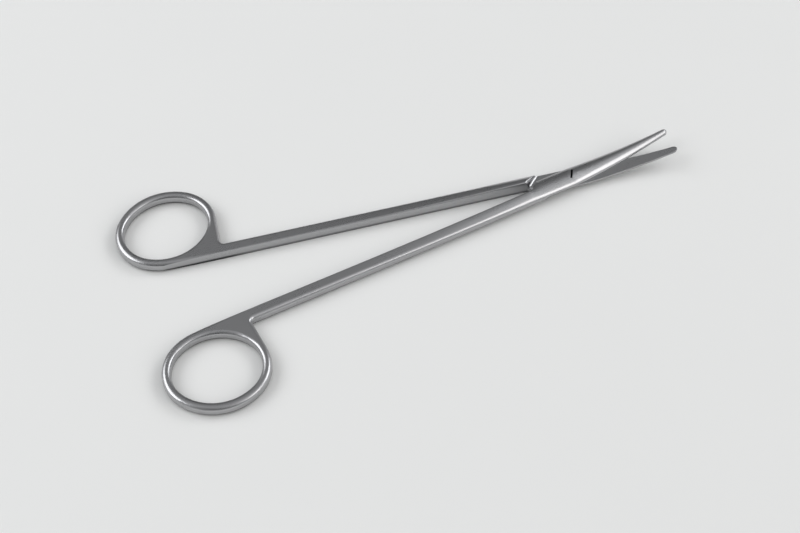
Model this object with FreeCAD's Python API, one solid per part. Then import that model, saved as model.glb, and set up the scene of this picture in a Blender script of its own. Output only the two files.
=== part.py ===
import FreeCAD, Part
import math
import os

# Curved dissecting scissors with a screwed lap joint, standing open as a user lays them down.
# Millimetres. The pivot axis is the Z axis, the table is z = 0 and the tips point along +X.
# Each half is built closed, in a frame of its own: the lap plane is z = 0, its blade lies below
# that plane with the cutting edge on +Y, and its finger ring is on +Y too. The upper half is the
# same forging turned over about X, so both halves come from one function.

CLOSED_LENGTH = 180.0      # ring end to tip with the rings together
BLADE_REACH = 35.8         # pivot axis to tip
OPENING = 11.7             # angle between the halves as stored, degrees
JOINT_HEIGHT = 4.9         # both halves stacked at the pivot
LAP_GAP = 0.06             # air between the two inner faces, taken half from each blade
CLOSED_GAP = 0.14          # air between the shanks when the rings meet

RING_HOLE_LONG = 26.5      # finger hole, long axis
RING_HOLE_SHORT = 23.1     # finger hole, short axis
RING_WIRE = 2.7            # ring section seen from above
RING_HEIGHT = 3.75         # ring section seen from the side
RING_TURN = 16.6           # long axis of the hole against the shank, degrees
RING_ROUND = 1.2           # outer edge radius of the ring and its web
HOLE_ROUND = 1.1           # edge radius round the finger hole
RING_CROSSES = 0.22        # how far the round ring reaches past the ground inner side
WEB_FROM = 1.3             # the web starts this far out from the finger hole, on the ring's flat top
CORNER_RADIUS = 1.1        # inside corner between ring and shank, seen from above
ROOT_LENGTH = 5.0          # straight root of the shank, forged in one with the web

SHANK_OUTER = 3.62         # inner plane of the pair to the outer side of a shank
SHANK_BREAK = 0.1          # rounded inner edge at the ring end
SHANK_BREAK_JOINT = 0.35   # the same edge at the joint
JOINT_ROUND = 0.8          # how far the outer rounding reaches in at the joint
BACK_FALL = 1.44           # how far the domed back falls from its crest to the sides, at the joint
BACK_FALL_TIP = 0.58       # the same at the blade's tip
SPINE_ROUND = 0.7          # how far the lap's rounding reaches in on its spine side
SIDE_BAND = 0.5            # half height of the straight outer side at the joint

SHOULDER_BACK = 14.9       # pivot axis to the shoulder, along the inner plane
SHOULDER_ANGLE = 45.0      # shoulder line against the shank, degrees
SHOULDER_FILLET = 1.0
SHOULDER_CHAMFER = 0.55
SHOULDER_GAP = 0.25        # shoulder to the other half's flank when closed
JOINT_START = 16.0         # where the shank's full section ends

FLARE_END = 11.5           # the lap has its full width from here on
SPINE_JOINT = 3.4          # pivot axis to the spine side of the lap
SPINE_TIP = 1.15
EDGE_TIP = 0.85
BLADE_TIP_THICK = 1.3
BEVEL_HEIGHT = 0.5         # ground facet along the cutting edge
BEVEL_DEPTH = 0.14
CURVE_RADIUS = 164.0       # upward sweep of the blades
CURVE_START = 0.8          # the lap stays flat up to here
NOSE_LENGTH = 1.1          # rounded last stretch of the blade
BLADE_STEPS = 9            # stretches that the blade is lofted in
SHANK_STEPS = 5

SCREW_HEAD_RADIUS = 1.75
SCREW_HEAD_DEPTH = 1.3
SCREW_SHANK_RADIUS = 1.3
SCREW_THREAD_RADIUS = 1.2
RUNNING_FIT = 0.04         # radial air round the head and the screw's shank
THREAD_FIT = 0.01
SLOT_WIDTH = 0.5
SLOT_DEPTH = 0.6
SLOT_ANGLE = 61.7          # direction of the slot against +X, degrees

HALF_HEIGHT = JOINT_HEIGHT / 2.0
RING_HALF = RING_HEIGHT / 2.0
INNER_SIDE = CLOSED_GAP / 2.0
INNER_FACE = -LAP_GAP / 2.0
TURN = math.radians(RING_TURN)
HOLE_A = RING_HOLE_LONG / 2.0
HOLE_B = RING_HOLE_SHORT / 2.0
# the hole is an oval of four arcs: two tight ones on the long axis, two wide ones on the short
TIGHT = HOLE_B - (HOLE_A - HOLE_B) * 0.62
WIDE = ((HOLE_A - TIGHT) ** 2 + HOLE_B ** 2 - TIGHT ** 2) / (2.0 * (HOLE_B - TIGHT))
ARCS_MEET = math.atan2(WIDE - HOLE_B, HOLE_A - TIGHT)
BIG = 60.0


def vec(x, y, z=0.0):
    return FreeCAD.Vector(x, y, z)


def box(x0, x1, y0, y1, z0, z1):
    return Part.makeBox(x1 - x0, y1 - y0, z1 - z0, vec(x0, y0, z0))


def line(a, b):
    return Part.makeLine(a, b)


def mix(a, b, share):
    return a + (b - a) * share


def along_shank(x):
    """0 at the shank's root, 1 where its full section ends at the joint"""
    return min(max((x - ROOT_X) / (-JOINT_START - ROOT_X), 0.0), 1.0)


def thickening(x):
    """the shank keeps the ring's height for most of its length, then swells into the joint"""
    return along_shank(x) ** 3


def sink(x, curl):
    """the thinner ring end is set so that both rings lie on the table with the joint"""
    return -curl * (HALF_HEIGHT - RING_HALF) * (1.0 - thickening(x))


def oval_arc(normal, grow):
    """centre and radius of the oval's arc whose outward normal has this angle"""
    turned = (normal - TURN + math.pi) % (2.0 * math.pi) - math.pi
    if abs(turned) < ARCS_MEET:
        cx, cy, radius = HOLE_A - TIGHT, 0.0, TIGHT
    elif abs(turned) > math.pi - ARCS_MEET:
        cx, cy, radius = TIGHT - HOLE_A, 0.0, TIGHT
    else:
        cx, cy, radius = 0.0, math.copysign(WIDE - HOLE_B, -turned), WIDE
    c, s = math.cos(TURN), math.sin(TURN)
    return vec(cx * c - cy * s, cx * s + cy * c), radius + grow


def oval_point(normal, grow):
    centre, radius = oval_arc(normal, grow)
    return centre + vec(math.cos(normal), math.sin(normal)) * radius


RING_X = oval_point(math.pi, RING_WIRE).x * -1.0 - (CLOSED_LENGTH - BLADE_REACH)
RING_Y = INNER_SIDE - RING_CROSSES - oval_point(-math.pi / 2.0, RING_WIRE).y
WEB_X = RING_X + oval_point(0.0, RING_WIRE).x - 0.45
ROOT_X = WEB_X + ROOT_LENGTH
WEB_DIP = (ROOT_X, INNER_SIDE - RING_CROSSES - 1.0)


def ring_point(normal, grow):
    return oval_point(normal, grow) + vec(RING_X, RING_Y)


def arc_spans(start, end):
    """the ring's arcs between two normal angles, counter-clockwise, split where they meet"""
    cuts = [start]
    for turn in range(-3, 4):
        for side in (-ARCS_MEET, ARCS_MEET):
            angle = TURN + side + math.pi * turn
            if start + 1e-6 < angle < end - 1e-6:
                cuts.append(angle)
    cuts = sorted(cuts) + [end]
    return list(zip(cuts[:-1], cuts[1:]))


def oval_arcs(start, end, grow):
    """the arcs of the ring's outline, this far out from the finger hole"""
    arcs = []
    for a, b in arc_spans(start, end):
        centre, radius = oval_arc((a + b) / 2.0, grow)
        arcs.append(Part.Circle(centre + vec(RING_X, RING_Y), vec(0, 0, 1), radius).toShape(a, b))
    return arcs


def tangent_from(px, py, low, high):
    """normal angle where the line from a point touches the ring's outer outline"""
    def side(t):
        p = ring_point(t, RING_WIRE)
        return (px - p.x) * math.cos(t) + (py - p.y) * math.sin(t)
    a, b = low, high
    for _ in range(60):
        m = (a + b) / 2.0
        if side(a) * side(m) <= 0:
            b = m
        else:
            a = m
    return (a + b) / 2.0


def at_x(x):
    """places (y, z) in the plane across a shank or blade at x"""
    return lambda y, z: vec(x, y, z)


def at_ring(normal):
    """places (distance out from the finger hole, z) in the ring's radial plane at a normal angle"""
    return lambda out, z: ring_point(normal, out) + vec(0, 0, z)


def bend(at, start, corner, end, weight=math.sqrt(0.5)):
    """curve that leaves its start and reaches its end in line with the corner"""
    curve = Part.BSplineCurve()
    poles = [at(*start), at(*corner), at(*end)]
    curve.buildFromPolesMultsKnots(poles, (3, 3), (0.0, 1.0), False, 2, (1.0, weight, 1.0))
    return curve.toShape()


def quarter(at, start, corner, end):
    """quarter circle from start to end, as two curves that meet on its middle"""
    reach, weight = math.tan(math.pi / 8.0), math.cos(math.pi / 8.0)
    first = tuple(mix(s, c, reach) for s, c in zip(start, corner))
    last = tuple(mix(e, c, reach) for e, c in zip(end, corner))
    middle = tuple((f + l) / 2.0 for f, l in zip(first, last))
    return [bend(at, start, first, middle, weight), bend(at, middle, last, end, weight)]


def outline(at, points):
    """straight edges from each point to the next"""
    placed = [at(*point) for point in points]
    return [line(a, b) for a, b in zip(placed[:-1], placed[1:])]


def wire_section(at, whole):
    """section of the ring: all of its wire, or only the part between the hole and the web"""
    high, out = RING_HALF, RING_WIRE
    hole, rim = HOLE_ROUND, RING_ROUND
    edges = quarter(at, (hole, -high), (0, -high), (0, hole - high))
    edges += outline(at, [(0, hole - high), (0, high - hole)])
    edges += quarter(at, (0, high - hole), (0, high), (hole, high))
    if whole:
        edges += outline(at, [(hole, high), (out - rim, high)])
        edges += quarter(at, (out - rim, high), (out, high), (out, high - rim))
        edges += outline(at, [(out, high - rim), (out, rim - high)])
        edges += quarter(at, (out, rim - high), (out, -high), (out - rim, -high))
        edges += outline(at, [(out - rim, -high), (hole, -high)])
    else:
        edges += outline(at, [(hole, high), (WEB_FROM, high), (WEB_FROM, -high), (hole, -high)])
    return Part.Wire(edges)


def ring_part(start, end, whole):
    """the ring between two normal angles, one turned solid for each arc of its oval"""
    parts = []
    for a, b in arc_spans(start, end):
        centre = oval_arc((a + b) / 2.0, 0.0)[0] + vec(RING_X, RING_Y)
        section = Part.Face(wire_section(at_ring(a + 1e-9), whole))
        parts.append(section.revolve(centre, vec(0, 0, 1), math.degrees(b - a)))
    return parts


def web(t_web, t_low):
    """flat web that joins the ring to the root of the shank, its outer edges rounded"""
    corner_y = SHANK_OUTER + CORNER_RADIUS
    leave = ring_point(t_web, RING_WIRE)
    low = ring_point(t_low, RING_WIRE)
    side = vec(WEB_X, corner_y) - leave
    side.normalize()
    corner = vec(WEB_X - side.y * CORNER_RADIUS, corner_y)
    start = corner + vec(side.y, -side.x) * CORNER_RADIUS
    end = corner - vec(0, CORNER_RADIUS)
    bow = (start + end) * 0.5 - corner
    bow.normalize()
    dip = vec(*WEB_DIP)
    rounded = [
        line(low, dip),
        line(vec(ROOT_X, SHANK_OUTER), end),
        Part.Arc(start, corner + bow * CORNER_RADIUS, end).toShape(),
        line(start, leave),
    ]
    plain = oval_arcs(t_low, t_web, WEB_FROM) + [
        line(ring_point(t_low, WEB_FROM), low),
        line(dip, vec(ROOT_X, SHANK_OUTER)),
        line(leave, ring_point(t_web, WEB_FROM)),
    ]
    face = Part.Face(Part.Wire(Part.__sortEdges__(rounded + plain)))
    face.translate(vec(0, 0, -RING_HALF))
    plate = face.extrude(vec(0, 0, RING_HEIGHT))
    middles = [edge.valueAt((edge.FirstParameter + edge.LastParameter) / 2.0) for edge in rounded]
    chosen = []
    for edge in plate.Edges:
        middle = edge.valueAt((edge.FirstParameter + edge.LastParameter) / 2.0)
        flat = abs(abs(middle.z) - RING_HALF) < 1e-6 and edge.BoundBox.ZLength < 1e-6
        if flat and min(m.distanceToPoint(vec(middle.x, middle.y)) for m in middles) < 1e-4:
            chosen.append(edge)
    return plate.makeFillet(RING_ROUND, chosen)


def ring_and_web(curl):
    """finger ring, its flat web and the root of the shank, edges rounded all round"""
    # the web's free side leaves the ring at a tangent and turns into the shank's outer side
    t_web = tangent_from(WEB_X, SHANK_OUTER + CORNER_RADIUS, -0.5, 1.2)
    # the ground inner side cuts a line that leaves the ring at a tangent and dips below it
    t_low = tangent_from(*WEB_DIP, math.pi, 1.6 * math.pi) - 2.0 * math.pi
    bare = ring_part(t_web, t_low + 2.0 * math.pi, True)
    joined = ring_part(t_low, t_web, False)
    plate = bare[0].fuse(bare[1:] + joined + [web(t_web, t_low)])
    plate = plate.removeSplitter()
    plate = plate.cut(box(-BIG * 4, BIG, -BIG, INNER_SIDE, -BIG, BIG))
    for side in (1, -1):
        plate = plate.cut(edge_break(side))
    plate.translate(vec(0, 0, sink(ROOT_X, curl)))
    return plate


def edge_break(side):
    """what is taken off the ground inner edge of the plate, on its upper or its lower face"""
    face_z, y, brk, at = side * RING_HALF, INNER_SIDE, SHANK_BREAK, at_x(RING_X)
    profile = [bend(at, (y, face_z - side * brk), (y, face_z), (y + brk, face_z))]
    profile += outline(at, [(y + brk, face_z), (y + brk, face_z + side), (y - 1, face_z + side),
                            (y - 1, face_z - side * brk), (y, face_z - side * brk)])
    return Part.Face(Part.Wire(profile)).extrude(vec(BIG, 0, 0))


def domed_back(at, up, peak, drop, lean, near, far):
    """a forging's back: a rounded edge at near, a dome, a rounded edge at far

    near and far are (y of the side, how far the rounding reaches in, z where it ends on the side).
    The dome, carried on in line to the far side, falls by drop there. Lean 0 puts its crest at the
    near side, and lean 1 puts it in the middle.
    """
    y_near, reach_near, z_near = near
    y_far, reach_far, z_far = far
    a, b = y_near + reach_near, y_far - reach_far
    crown = drop / (1.0 + 2.0 * (1.0 + lean) * reach_far / (b - a))
    z_a, z_top, z_b = peak - up * crown * lean, peak + up * crown * lean, peak - up * crown
    rise = (z_top - z_a) / ((b - a) / 2.0)
    fall = (z_top - z_b) / ((b - a) / 2.0)
    return [
        bend(at, (y_near, z_near), (y_near, z_a - rise * reach_near), (a, z_a)),
        bend(at, (a, z_a), ((a + b) / 2.0, z_top), (b, z_b), 1.0),
        bend(at, (b, z_b), (y_far, z_b - fall * reach_far), (y_far, z_far)),
    ]


def shank_section(x, curl):
    """section of the shank: flat inner side, rounded inner edges, domed back and rounded outer side"""
    at = at_x(x)
    share = along_shank(x)
    half = mix(RING_HALF, HALF_HEIGHT, thickening(x))
    drop = BACK_FALL * share ** 2
    brk = mix(SHANK_BREAK, SHANK_BREAK_JOINT, share)
    reach = mix(RING_ROUND, JOINT_ROUND, share)
    inner_side = half - brk
    outer_side = mix(RING_HALF - RING_ROUND, SIDE_BAND, share)
    mid = sink(x, curl)
    y_in, y_out = INNER_SIDE, SHANK_OUTER
    top = domed_back(at, 1, mid + half, drop, 0.0, (y_in, brk, mid + inner_side), (y_out, reach, mid + outer_side))
    low = domed_back(at, -1, mid - half, drop, 0.0, (y_in, brk, mid - inner_side), (y_out, reach, mid - outer_side))
    return Part.Wire(top + outline(at, [(y_out, mid + outer_side), (y_out, mid - outer_side)])
                     + low[::-1] + outline(at, [(y_in, mid - inner_side), (y_in, mid + inner_side)]))


def lift(x):
    return max(x - CURVE_START, 0.0) ** 2 / (2.0 * CURVE_RADIUS)


def blade_section(x, curl, shrink=1.0):
    """section of lap or blade: flat inner face up, domed back below, cutting edge on +Y"""
    at = at_x(x)
    flare = min(max((x + JOINT_START) / (JOINT_START - FLARE_END), 0.0), 1.0)
    share = min(max(x / BLADE_REACH, 0.0), 1.0)
    grind = min(share * 6.0, 1.0)
    edge = mix(SHANK_OUTER, EDGE_TIP, share)
    spine = mix(mix(-INNER_SIDE, SPINE_JOINT, flare), SPINE_TIP, share)
    thick = mix(HALF_HEIGHT + INNER_FACE, BLADE_TIP_THICK, share)
    drop = mix(BACK_FALL, BACK_FALL_TIP, share)
    bevel = BEVEL_DEPTH * grind
    bevel_high = min(BEVEL_HEIGHT, thick * 0.4)
    middle = (edge - spine) / 2.0
    edge = middle + (edge - middle) * shrink
    spine = -middle + (spine + middle) * shrink
    thick, drop, bevel, bevel_high = thick * shrink, drop * shrink, bevel * shrink, bevel_high * shrink
    width = edge + spine
    top = INNER_FACE + curl * lift(x)
    reach_edge = mix(JOINT_ROUND * shrink, width * 0.28, share)
    reach_spine = mix(mix(SHANK_BREAK_JOINT, SPINE_ROUND, flare) * shrink, width * 0.28, share)
    edge_side = mix(-SIDE_BAND, top - bevel_high, grind)
    spine_side = mix(mix(SHANK_BREAK_JOINT - HALF_HEIGHT, top - SIDE_BAND, flare), top - thick * 0.35, grind)
    y_edge = edge - bevel
    back = domed_back(at, -1, top - thick, drop, flare, (-spine, reach_spine, spine_side),
                      (y_edge, reach_edge, edge_side))
    face = outline(at, [(y_edge, edge_side), (edge, top), (-spine, top), (-spine, spine_side)])
    return Part.Wire(back + face)


def loft(wires):
    """solid through sections, straight from each one to the next"""
    return Part.makeLoft(wires, True, True)


def evenly(start, end, count):
    return [mix(start, end, step / count) for step in range(count + 1)]


def blade(curl):
    """lap plate, blade and rounded nose of one half"""
    nose_start = BLADE_REACH - NOSE_LENGTH
    stations = [-JOINT_START, -FLARE_END, -FLARE_END / 2.0] + evenly(0.0, nose_start, BLADE_STEPS)
    body = loft([blade_section(x, curl) for x in stations])
    nose = []
    for share in (0.0, 0.4, 0.65, 0.82, 0.93, 0.985):
        nose.append(blade_section(nose_start + NOSE_LENGTH * share, curl, math.sqrt(1 - share * share)))
    return body.fuse(loft(nose))


def prism(points, at, along, across, start, length):
    """solid with a profile in (across, Z), pushed along a plan direction"""
    wire = Part.makePolygon([at + across * n + along * start + vec(0, 0, z) for n, z in points + points[:1]])
    return Part.Face(wire).extrude(along * length)


def fillet_points(n, z, radius, from_wall):
    """concave fillet between a wall and the lap plane, as a few short chords"""
    points = []
    for step in range(7):
        turn = math.radians(15.0 * step)
        points.append((n + radius * (1 - math.cos(turn)), z + radius * (1 - math.sin(turn))))
    return points if from_wall else points[::-1]


def shoulder_cut():
    """what the mill takes off above the lap plane in front of the shoulder"""
    angle = math.radians(SHOULDER_ANGLE)
    along = vec(math.cos(angle), math.sin(angle))
    across = vec(math.sin(angle), -math.cos(angle))
    top, chamfer = HALF_HEIGHT, SHOULDER_CHAMFER
    points = [(-chamfer - 1.0, top + 1.0), (-chamfer, top), (0.0, top - chamfer)]
    points += fillet_points(0.05, INNER_FACE, SHOULDER_FILLET, True)
    points += [(BIG, INNER_FACE), (BIG, top + 1.0)]
    return prism(points, vec(-SHOULDER_BACK, 0), along, across, -BIG / 2, BIG)


def flank_cut():
    """room beside the lap for the other half's shoulder"""
    angle = math.radians(SHOULDER_ANGLE)
    along = vec(math.cos(angle), -math.sin(angle))
    across = vec(math.sin(angle), math.cos(angle))
    low = -HALF_HEIGHT
    points = [(-BIG, 1.0), (SHOULDER_GAP + SHOULDER_FILLET + 0.1, 1.0)]
    for n, z in fillet_points(0.05, 0.0, SHOULDER_FILLET, False):
        points.append((n + SHOULDER_GAP, -z))
    points += [(SHOULDER_GAP, low + 0.4), (SHOULDER_GAP + 0.35, low - 0.05), (-BIG, low - 0.05)]
    cut = prism(points, vec(-SHOULDER_BACK, 0), along, across, -BIG / 2, BIG)
    return cut.common(box(-BIG, BIG, -BIG, INNER_SIDE, -BIG, BIG))


def forging(curl):
    """one whole half, closed and in its own frame, before the pivot hole"""
    shank = loft([shank_section(x, curl) for x in evenly(ROOT_X, -JOINT_START, SHANK_STEPS)])
    stub = Part.Face(shank_section(-JOINT_START, curl)).extrude(vec(JOINT_START - 8.0, 0, 0))
    stub = stub.common(box(-BIG, 0, -BIG, BIG, INNER_FACE, BIG)).cut(shoulder_cut())
    lap = blade(curl).cut(flank_cut())
    half = ring_and_web(curl).fuse([shank, stub, lap])
    return half.removeSplitter()


def upper_in_place(shape, turn=OPENING / 2.0):
    placed = shape.copy()
    placed.rotate(vec(0, 0, 0), vec(1, 0, 0), 180)
    placed.rotate(vec(0, 0, 0), vec(0, 0, 1), turn)
    placed.translate(vec(0, 0, HALF_HEIGHT))
    return placed


def lower_in_place(shape, turn=OPENING / 2.0):
    placed = shape.copy()
    placed.rotate(vec(0, 0, 0), vec(0, 0, 1), -turn)
    placed.translate(vec(0, 0, HALF_HEIGHT))
    return placed


def cylinder(radius, z0, z1):
    return Part.makeCylinder(radius, z1 - z0, vec(0, 0, z0))


def make_pieces():
    top_blank = upper_in_place(forging(-1))
    low_blank = lower_in_place(forging(1))
    seat = JOINT_HEIGHT - SCREW_HEAD_DEPTH
    upper = top_blank.cut(cylinder(SCREW_SHANK_RADIUS + RUNNING_FIT, 0, JOINT_HEIGHT))
    upper = upper.cut(cylinder(SCREW_HEAD_RADIUS + RUNNING_FIT, seat - 0.03, JOINT_HEIGHT + 1))
    lower = low_blank.cut(cylinder(SCREW_THREAD_RADIUS + THREAD_FIT, -1, JOINT_HEIGHT))
    head = top_blank.common(cylinder(SCREW_HEAD_RADIUS, seat, JOINT_HEIGHT + 1))
    screw = head.fuse(cylinder(SCREW_SHANK_RADIUS, HALF_HEIGHT, seat))
    # the thread's end is ground flat, level with the crest of the lower half's back
    screw = screw.fuse(cylinder(SCREW_THREAD_RADIUS, 0, HALF_HEIGHT))
    slot = box(-4, 4, -SLOT_WIDTH / 2.0, SLOT_WIDTH / 2.0, JOINT_HEIGHT - SLOT_DEPTH, JOINT_HEIGHT + 1)
    slot.rotate(vec(0, 0, 0), vec(0, 0, 1), SLOT_ANGLE)
    screw = screw.cut(slot).removeSplitter()
    return {"upper_half": upper, "lower_half": lower, "pivot_screw": screw}


def main():
    os.makedirs("parts", exist_ok=True)
    for name, shape in make_pieces().items():
        solids = shape.Solids
        bounds = shape.BoundBox
        print(name, "solids", len(solids), "valid", shape.isValid(), "volume", round(shape.Volume, 2),
              "faces", len(shape.Faces), "z", round(bounds.ZMin, 3), round(bounds.ZMax, 3),
              "x", round(bounds.XMin, 2), round(bounds.XMax, 2), "y", round(bounds.YMin, 2), round(bounds.YMax, 2))
        solids[0].exportStep("parts/" + name + ".step")


main()
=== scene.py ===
# %% [markdown]
# # Dissecting scissors on a pale table
# The scissors are three solids that come ready made from the CAD model: two forged halves and the
# screw that joins them. This script gives them their steel, lays them on a pale surface and lights
# them softly. Everything is in metres, in the frame of the CAD model: the pivot axis is Z, the
# table is z = 0 and the blade tips point along +X.

# %% Load the fixed frame
import math

import bpy
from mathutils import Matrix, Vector

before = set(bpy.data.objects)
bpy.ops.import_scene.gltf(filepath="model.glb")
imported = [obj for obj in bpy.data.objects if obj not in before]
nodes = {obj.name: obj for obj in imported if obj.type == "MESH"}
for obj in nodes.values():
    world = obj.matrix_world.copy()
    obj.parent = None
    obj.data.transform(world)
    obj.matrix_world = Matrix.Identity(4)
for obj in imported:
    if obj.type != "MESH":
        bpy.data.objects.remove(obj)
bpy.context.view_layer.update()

# %% [markdown]
# ## A small language for shader maths
# A finish is a formula: how far a point is from the edge, how strong the grain is there. Written as
# nodes by hand it takes a line per sum. A wrapper round a socket that knows +, - and * lets the
# formula be written as Python, and each operator adds its own Math node.

# %% The socket wrapper
class Value:
    """A number that varies over a surface: a node's output that can be used in sums."""

    def __init__(self, finish, socket):
        self.finish, self.socket = finish, socket

    def math(self, operation, other=None):
        values = {0: self} if other is None else {0: self, 1: other}
        return self.finish.add("ShaderNodeMath", {"operation": operation}, values)

    def __add__(self, other):
        return self.math("ADD", other)

    def __sub__(self, other):
        return self.math("SUBTRACT", other)

    def __rsub__(self, other):
        return self.finish.add("ShaderNodeMath", {"operation": "SUBTRACT"}, {0: other, 1: self})

    def __mul__(self, other):
        return self.math("MULTIPLY", other)

    __radd__, __rmul__ = __add__, __mul__

    def clamp(self):
        return self.finish.add("ShaderNodeClamp", {}, {"Value": self})


# %% The node tree
class Finish:
    """The node tree of a material or of the world, with one method that adds any node."""

    def __init__(self, owner):
        owner.use_nodes = True
        self.owner = owner
        self.nodes, self.links = owner.node_tree.nodes, owner.node_tree.links
        self.nodes.clear()

    def add(self, kind, settings, values, output=0):
        """one node with these settings and socket values; gives its output, where it has one"""
        node = self.nodes.new(kind)
        for name, setting in settings.items():
            setattr(node, name, setting)
        for name, value in values.items():
            if isinstance(value, Value):
                self.links.new(value.socket, node.inputs[name])
            else:
                node.inputs[name].default_value = value
        return Value(self, node.outputs[output]) if node.outputs else None

    def axes(self, place):
        return [self.add("ShaderNodeSeparateXYZ", {}, {"Vector": place}, axis) for axis in "XYZ"]

    def done(self, shader, kind="ShaderNodeOutputMaterial"):
        self.add(kind, {}, {"Surface": shader})
        return self.owner


# %% [markdown]
# ## Satin steel
# Surgical steel is forged, ground to shape, then blasted with fine glass beads and brushed, which
# leaves a soft grey sheen that doesn't dazzle under a theatre lamp. Seen close, the sheen isn't
# even: brushing leaves faint grain along the shank, blasting leaves a fine tooth, and handling
# leaves broad cloudy patches, some a little glossier than others. They change how rough the surface
# is more than its colour, so they go into Roughness and Bump, and the base colour only follows them
# slightly. The patterns are worked out from Object coordinates, in metres, not taken from an image.
#
# The polishing wheel also takes the crispness off every edge. The breaks and roundings themselves
# are in the CAD model; a Bevel node spreads the light over half a millimetre on each side of them,
# over a third of that on the rings, and not at all where the joint is ground flush. Near the table
# the base colour is painted shade: a near-black band at the base of every wall, darkest from 0.2 to
# 0.7 mm up and gone by 1.4 mm, strongest on the rings, which reads as a thin dark contact line on
# the table. The screw's slot, and a little on each side of it, is painted black as painted shade.

# %% Patterns shared by the finishes
MIX_UNDER, MIX_OVER, MIX_COLOR = 6, 7, 2     # a Mix node's sockets and output for colours, by number


def object_place(finish):
    """position on the piece, in metres"""
    return finish.add("ShaderNodeTexCoord", {}, {}, "Object")


def clouds(finish, place, grain, detail=2.0, roughness=0.5):
    """smooth noise between 0 and 1 whose patches are about this many metres across"""
    return finish.add("ShaderNodeTexNoise", {"noise_dimensions": "3D"}, {
        "Vector": place, "Scale": 1.0 / grain, "Detail": detail, "Roughness": roughness})


def step(finish, value, low, high):
    """0 below low and 1 above high, with a soft start and end"""
    return finish.add("ShaderNodeMapRange", {"interpolation_type": "SMOOTHSTEP"}, {
        "Value": value, "From Min": low, "From Max": high})


def blend(finish, share, color, over):
    """a colour, plain or worked out, with a share of a plain one laid over it"""
    under = color if isinstance(color, Value) else (*color, 1.0)
    return finish.add("ShaderNodeMix", {"data_type": "RGBA"}, {
        "Factor": share, MIX_UNDER: under, MIX_OVER: (*over, 1.0)}, MIX_COLOR)


# %% Grain, tooth and handling
GRAIN_LINE, GRAIN_STRETCH = 0.00011, 28.57   # how wide a line of the grain is, and its length in widths
BLASTED_TOOTH, HANDLED_PATCH = 0.00009, 0.0085


def steel_patterns(finish, place, grain_turn):
    """the three patterns, with the grain in this direction: an angle about Z, from +X"""
    along_grain = finish.add("ShaderNodeMapping", {"vector_type": "TEXTURE"}, {
        "Vector": place, "Rotation": (0.0, 0.0, grain_turn), "Scale": (GRAIN_STRETCH, 1.0, 1.0)})
    lines = clouds(finish, along_grain, GRAIN_LINE, detail=3.0, roughness=0.6)
    tooth = clouds(finish, place, BLASTED_TOOTH, detail=1.0)
    handled = clouds(finish, place, HANDLED_PATCH, detail=3.0, roughness=0.55)
    return lines, tooth, handled


# %% Colour of the steel
STEEL_DARK, STEEL_PALE = (0.42, 0.42, 0.433), (0.49, 0.49, 0.495)
# painted shade: near black for the band at the base of every wall, black for the screw's slot
FOOT_PAINTED_SHADE, SLOT_PAINTED_SHADE_BLACK = (0.05, 0.05, 0.052), (0.012, 0.012, 0.013)
# painted shade band near the table: where it starts, is darkest and fades out, how strong it is on the
# rings and how much weaker on the shanks
SHADE_BAND_FROM, SHADE_BAND_DARK_TO, SHADE_BAND_GONE_AT = 0.0002, 0.0007, 0.0014     # heights above the table
SHADE_BAND_AT_RINGS, SHADE_BAND_LESS_ON_SHANKS = 0.97, 0.4
SLOT_TURN = math.radians(61.7)
SLOT_DARK_TO, SLOT_GONE_AT = 0.00029, 0.00036    # distances from the middle line of the slot


def steel_color(finish, wear, axes, on_shank, with_slot_shade):
    """grey that pales with wear, with painted shade near the table at the base of a wall, and the screw's
    slot painted black as painted shade
    """
    x, y, z = axes
    # painted shade: the base colour darkens to near black in a band just above the table
    above_shade_band = step(finish, z, SHADE_BAND_DARK_TO, SHADE_BAND_GONE_AT)
    foot_shade_mask = step(finish, z, 0.0, SHADE_BAND_FROM) * (1.0 - above_shade_band)
    color = blend(finish, wear, STEEL_DARK, STEEL_PALE)
    color = blend(finish, foot_shade_mask * (SHADE_BAND_AT_RINGS - on_shank * SHADE_BAND_LESS_ON_SHANKS), color, FOOT_PAINTED_SHADE)
    # painted shade: a line along the screw's slot, a little wider than the slot, is painted black
    if with_slot_shade:
        aside = (x * math.sin(SLOT_TURN) - y * math.cos(SLOT_TURN)).math("ABSOLUTE")
        slot_shade_mask = 1.0 - step(finish, aside, SLOT_DARK_TO, SLOT_GONE_AT)
        color = blend(finish, slot_shade_mask, color, SLOT_PAINTED_SHADE_BLACK)
    return color


# %% The finish itself
RINGS_END, SHANKS_START = -0.112, -0.104     # places along X
WORN_AT_RINGS = 0.3                          # how far polishing reaches there, against the shanks
CRISP_CORE = 0.7                             # share of the crisp circle that no polishing reaches
ROUGHNESS_SWING = 0.05
MICRO_BUMP = {"Strength": 0.05, "Distance": 0.00002}


def satin_steel(name, grain_turn, roughness, worn_edge, crisp_within, with_slot_shade=False):
    """Steel whose edges look rounded by polishing over worn_edge, in metres.

    Edges nearer the pivot axis than crisp_within, also in metres, are ground flush and stay crisp.
    """
    finish = Finish(bpy.data.materials.new(name))
    place = object_place(finish)
    lines, tooth, handled = steel_patterns(finish, place, grain_turn)
    wear = (lines * 0.45 + tooth * 0.2 + handled * 0.35).clamp()
    x, y, z = finish.axes(place)
    on_shank = step(finish, x, RINGS_END, SHANKS_START)
    off_pivot = step(finish, x * x + y * y, (CRISP_CORE * crisp_within) ** 2, crisp_within ** 2)
    reach = WORN_AT_RINGS + on_shank * (1.0 - WORN_AT_RINGS)
    rounded = finish.add("ShaderNodeBevel", {"samples": 8}, {"Radius": off_pivot * reach * worn_edge})
    return finish.done(finish.add("ShaderNodeBsdfPrincipled", {}, {
        "Base Color": steel_color(finish, wear, (x, y, z), on_shank, with_slot_shade),
        "Metallic": 1.0,
        "Roughness": roughness + (lines + handled - 0.8) * ROUGHNESS_SWING,
        "Normal": finish.add("ShaderNodeBump", {}, {
            **MICRO_BUMP, "Height": (lines + tooth) * 0.5, "Normal": rounded})}))


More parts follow.
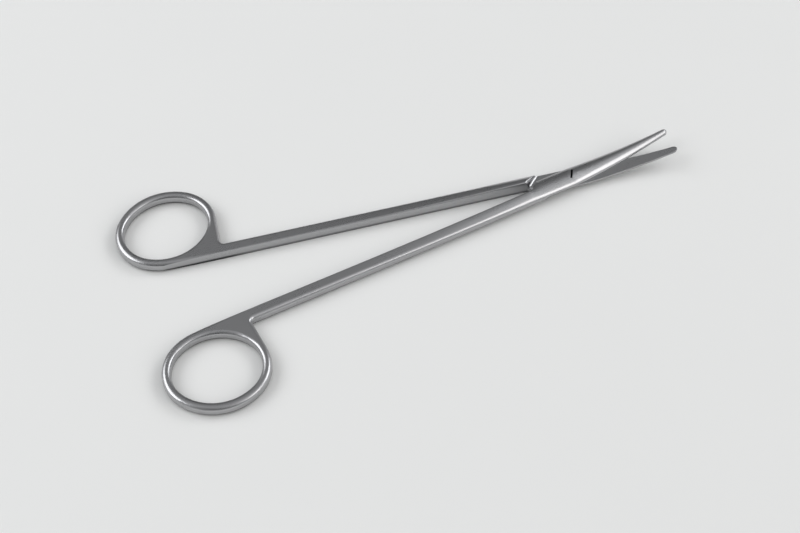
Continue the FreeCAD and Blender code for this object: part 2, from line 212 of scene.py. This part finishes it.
# %% Steel on the three pieces
GRAIN_UPPER, GRAIN_LOWER, GRAIN_SCREW = (math.radians(turn) for turn in (5.85, -5.85, -35.0))
BRUSHED, TURNED = 0.27, 0.31                 # roughness
WORN_EDGE, NOT_WORN = 0.0005, 0.0
FLUSH_SCREW, CRISP_SHOULDER = 0.0028, 0.0150
finishes = {
    "upper_half": satin_steel("satin_steel_upper", GRAIN_UPPER, BRUSHED, WORN_EDGE, FLUSH_SCREW),
    "lower_half": satin_steel("satin_steel_lower", GRAIN_LOWER, BRUSHED, WORN_EDGE, CRISP_SHOULDER),
    "pivot_screw": satin_steel("turned_steel_screw", GRAIN_SCREW, TURNED, NOT_WORN, FLUSH_SCREW,
                               with_slot_shade=True),
}
for name, node in nodes.items():
    node.data.materials.clear()
    node.data.materials.append(finishes[name])
print("finishes:", {name: finish.name for name, finish in finishes.items()})

# %% [markdown]
# ## Table
# The scissors lie on a pale matt sheet. It has no pattern that shows, only the slight unevenness of
# paper or laminate, so a fine bump and a very weak cloud in its colour are enough. It is lit by the
# same soft lamps as the steel; its paleness comes from its colour.

# %% Table
TABLE_DIM, TABLE_PALE = (0.871, 0.873, 0.863), (0.885, 0.887, 0.876)
TABLE_CLOUD, TABLE_TOOTH, TABLE_SIDE = 0.05, 0.0006, 6.0


def pale_laminate(name):
    finish = Finish(bpy.data.materials.new(name))
    place = object_place(finish)
    tone = clouds(finish, place, TABLE_CLOUD, detail=3.0)
    tooth = clouds(finish, place, TABLE_TOOTH)
    return finish.done(finish.add("ShaderNodeBsdfPrincipled", {}, {
        "Base Color": blend(finish, tone, TABLE_DIM, TABLE_PALE),
        "Specular IOR Level": 0.2,
        "Roughness": 0.74 + tooth * 0.08,
        "Normal": finish.add("ShaderNodeBump", {}, {
            "Strength": 0.05, "Distance": 0.0001, "Height": tooth})}))


bpy.ops.mesh.primitive_plane_add(size=TABLE_SIDE, location=(0, 0, 0))
table = bpy.context.object
table.name = "table"
table.data.materials.append(pale_laminate("pale_laminate"))
print("table: a square of", round(table.dimensions.x, 2), "m at height", table.location.z)

# %% [markdown]
# ## Light
# Polished and satin metal shows its room more than its own colour, so the room matters as much as
# the lamps. In the photograph the flat tops are dark, the edges that turn sideways are bright, and
# the highlight along the upper half is faint at the ring and grows towards the joint. So the room is
# dim straight ahead, soft windows stand high at both sides, and one lamp hangs low in front, on the
# side of the blades. The room glows round it, fading slowly, which gives the highlight its soft slope.

# %% Room
ROOM_TINT = (0.98, 0.99, 1.0, 1.0)
HORIZON, OVERHEAD, ZENITH, SIDES, GLOW = 0.13, 0.1, 0.2, 0.3, 0.38     # levels, where 1 is white
GLOW_FROM = (0.55, -0.53, 0.645)     # a direction just above the front lamp
RISE, TOP, ASIDE, NEAR = (0.0, 0.8), (0.72, 1.0), (0.15, 0.85), (0.6, 1.0)     # start and full


def studio_room(name):
    finish = Finish(bpy.data.worlds.new(name))
    direction = finish.add("ShaderNodeTexCoord", {}, {}, "Generated")
    x, y, z = finish.axes(direction)
    near_glow = finish.add("ShaderNodeVectorMath", {"operation": "DOT_PRODUCT"}, {
        0: direction, 1: GLOW_FROM}, "Value")
    level = (HORIZON + step(finish, z, *RISE) * OVERHEAD + step(finish, z, *TOP) * ZENITH
             + step(finish, x * x, *ASIDE) * SIDES + step(finish, near_glow, *NEAR) * GLOW)
    sky = finish.add("ShaderNodeBackground", {}, {"Color": ROOM_TINT, "Strength": level})
    return finish.done(sky, "ShaderNodeOutputWorld")


bpy.context.scene.world = studio_room("studio_room")
print("room: level", HORIZON, "at the horizon,", round(HORIZON + OVERHEAD + ZENITH, 2), "straight above")


# %% Standing lamps and the camera
def stand(piece, aim, azimuth, elevation, distance):
    """Stand a lamp or the camera this far from a point, facing it.

    Azimuth goes from straight ahead (+Y) round by the right (+X), elevation up from the table, both
    in degrees.
    """
    a, e = math.radians(azimuth), math.radians(elevation)
    away = Vector((math.sin(a) * math.cos(e), math.cos(a) * math.cos(e), math.sin(e)))
    piece.location = aim + away * distance
    piece.rotation_euler = (-away).to_track_quat("-Z", "Y").to_euler()
    bpy.context.scene.collection.objects.link(piece)
    return piece


# %% Soft lamps
LAMP_AIM, LAMP_DISTANCE = Vector((-0.05, 0.0, 0.0)), 1.5
WINDOW_COOL, LAMP_WARM = (0.975, 0.985, 1.0), (1.0, 0.985, 0.965)


def softbox(name, azimuth, elevation, width, height, brightness, color):
    """A lit panel, its place in degrees and its size in metres.

    Its surface has this brightness, where 1 is a white wall in full light.
    """
    lamp = bpy.data.lights.new(name, "AREA")
    lamp.shape = "RECTANGLE"
    lamp.size, lamp.size_y = width, height
    lamp.energy = brightness * math.pi * width * height
    lamp.color = color
    return stand(bpy.data.objects.new(name, lamp), LAMP_AIM, azimuth, elevation, LAMP_DISTANCE)


lamps = [
    softbox("window_left", -62, 40, 1.5, 0.9, 2.6, WINDOW_COOL),
    softbox("window_right", 82, 40, 0.9, 0.6, 2.8, WINDOW_COOL),
    softbox("lamp_front", 137, 34, 0.8, 0.8, 2.05, LAMP_WARM),
]
print("lamps, W:", {lamp.name: round(lamp.data.energy, 2) for lamp in lamps})

# %% [markdown]
# ## Camera
# A product picture of scissors is taken from fairly high, so that both rings are seen as rings. The
# place and the lens follow from fitting a plain pinhole camera to the outline in the photograph: it
# stands some 41 cm off, left of straight in front, and looks down at about 54 degrees.

# %% Camera
LENS, SENSOR = 60.3, 36.0     # millimetres
CAMERA_AIM, CAMERA_DISTANCE = Vector((-0.06303, -0.01090, 0.0)), 0.4117
CAMERA_AZIMUTH, CAMERA_ELEVATION = 201.38, 54.285
camera = bpy.data.objects.new("camera", bpy.data.cameras.new("camera"))
camera.data.lens, camera.data.sensor_width = LENS, SENSOR
stand(camera, CAMERA_AIM, CAMERA_AZIMUTH, CAMERA_ELEVATION, CAMERA_DISTANCE)
bpy.context.scene.camera = camera
bpy.context.scene.view_settings.view_transform = "Standard"
print("camera, m:", [round(part, 4) for part in camera.location], "lens, mm:", round(camera.data.lens, 2))
